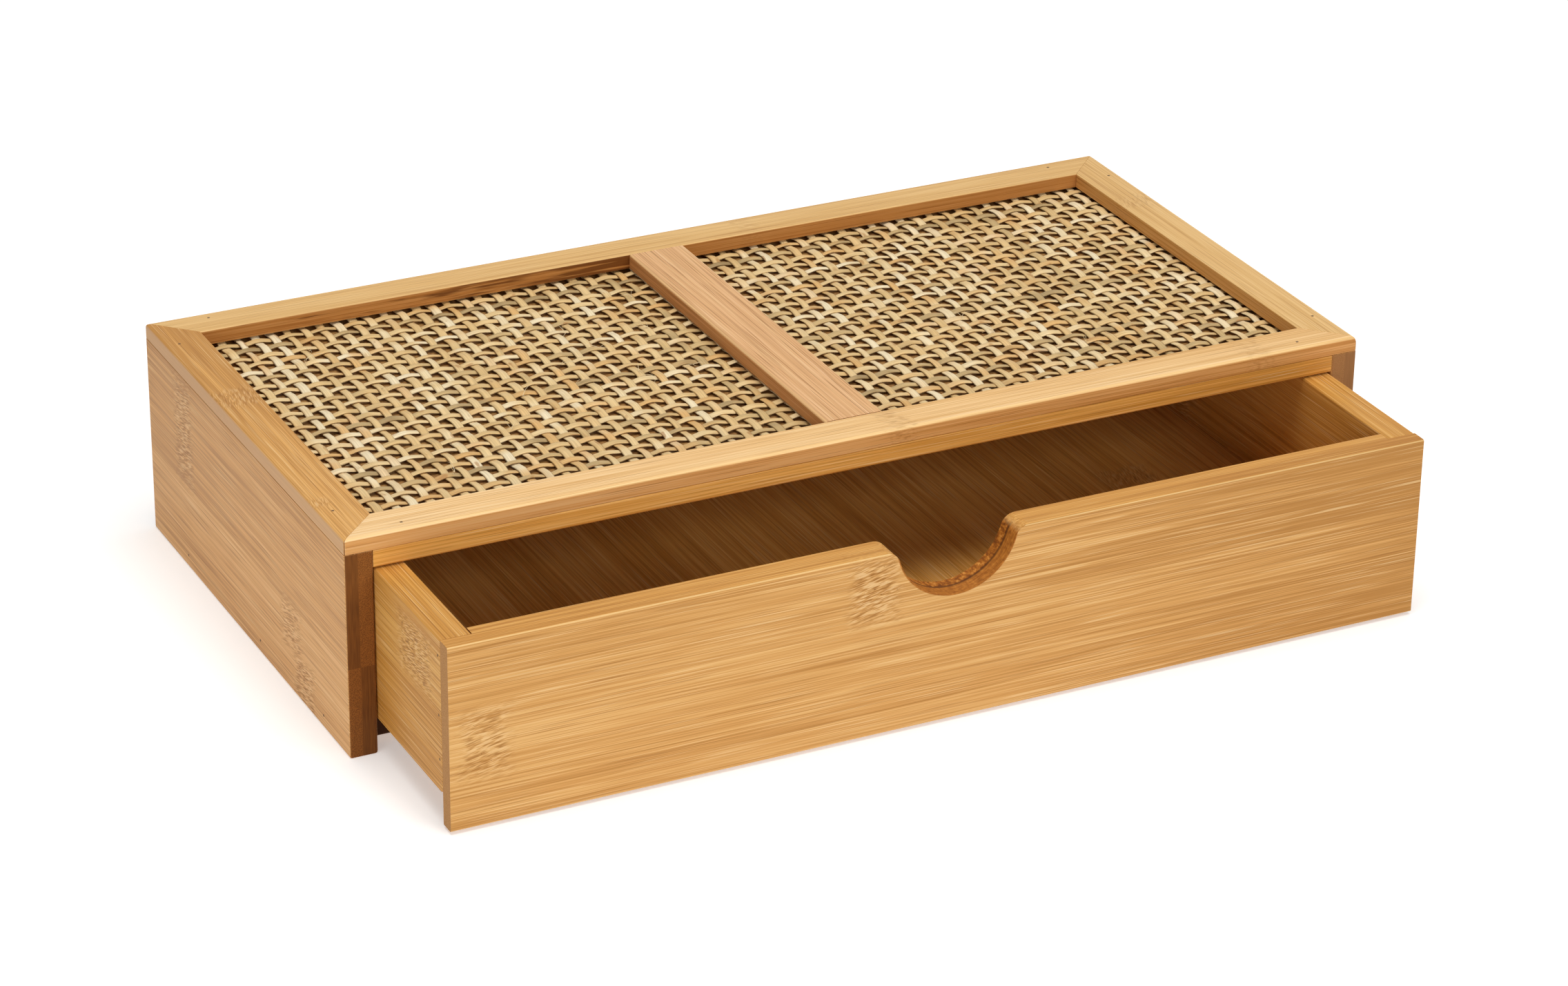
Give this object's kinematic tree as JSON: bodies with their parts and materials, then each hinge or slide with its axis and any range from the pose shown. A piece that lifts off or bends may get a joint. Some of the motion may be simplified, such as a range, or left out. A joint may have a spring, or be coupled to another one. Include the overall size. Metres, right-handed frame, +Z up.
{
  "type": "tabletop box with drawer",
  "caption": "Low bamboo tabletop box: one drawer with a scooped finger notch slides in under a mitred tray top with recessed woven cane panels.",
  "frame": {"origin": "centre of the footprint, on the surface the box stands on, with the drawer drawn out as it rests", "axes": "+X along the width, the drawer front faces -Y, +Z up"},
  "size_m": [0.35, 0.228, 0.073],
  "materials": {
    "bamboo": "satin clear lacquer over laminated bamboo",
    "cane": "raw rattan splits, matt",
    "backing": "plain brown fibreboard",
    "brad_steel": "dulled square brads"
  },
  "bodies": {
    "case": {"left_side_panel": "bamboo", "right_side_panel": "bamboo", "back_panel": "bamboo", "bottom_board": "bamboo", "front_apron": "bamboo", "front_rail": "bamboo", "back_rail": "bamboo", "left_stile": "bamboo", "right_stile": "bamboo", "centre_bar": "bamboo", "backing_board": "backing", "cane_stakes": "cane", "cane_weavers": "cane", "frame_brads": "brad_steel"},
    "drawer": {"drawer_front": "bamboo", "drawer_inner_front": "bamboo", "drawer_left_side": "bamboo", "drawer_right_side": "bamboo", "drawer_back": "bamboo", "drawer_floor": "bamboo", "drawer_brads": "brad_steel"}
  },
  "joints": [
    {"name": "drawer_slide", "type": "slide", "parent": "case", "child": "drawer", "axis": [0, -1, 0], "range_m": [-0.055, 0.065]}
  ]
}
